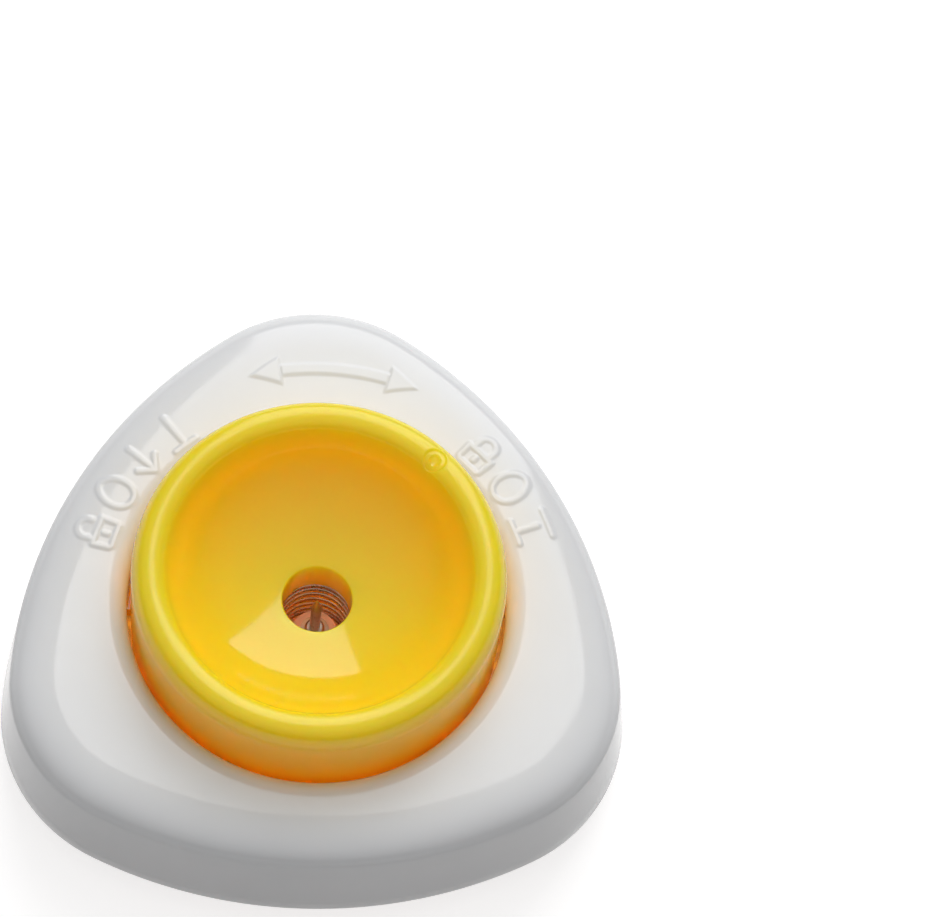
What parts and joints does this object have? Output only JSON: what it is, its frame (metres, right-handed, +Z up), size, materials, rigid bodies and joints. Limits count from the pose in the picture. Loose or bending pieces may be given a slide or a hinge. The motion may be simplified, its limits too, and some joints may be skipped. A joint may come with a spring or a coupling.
{
  "type": "egg piercer",
  "caption": "Egg piercer with a sprung yellow cup that turns to lock and presses down over a fixed steel pin, in a white rounded three-cornered housing.",
  "frame": {"origin": "where the cup's axis meets the surface the piercer stands on, on the underside of the base plate", "axes": "+Z up along the cup's axis, +Y towards the corner between the two marked positions, +X to the right of it"},
  "size_m": [0.072, 0.0714, 0.0268],
  "materials": {
    "white_plastic": "moulded, glossy, white",
    "yellow_plastic": "moulded, glossy, warm yellow",
    "spring_steel": "drawn wire, bright",
    "pin_steel": "ground steel",
    "collar_steel": "turned steel",
    "screw_steel": "zinc plated"
  },
  "bodies": {
    "base": {"housing": "white_plastic", "base_plate": "white_plastic", "piercing_pin": "pin_steel", "pin_collar": "collar_steel", "base_screws": "screw_steel"},
    "spring_coil": {"spring": "spring_steel"},
    "cup": {"cup": "yellow_plastic"}
  },
  "joints": [
    {"name": "cup_turn", "type": "hinge", "parent": "base", "child": "spring_coil", "pos_m": [0, 0, 0], "axis": [0, 0, 1], "range_deg": [0, 90]},
    {"name": "cup_press", "type": "slide", "parent": "spring_coil", "child": "cup", "axis": [0, 0, -1], "range_m": [0, 0.005], "stiffness_N_per_m": 600, "springref_m": -0.004, "deforming": ["spring"]}
  ]
}
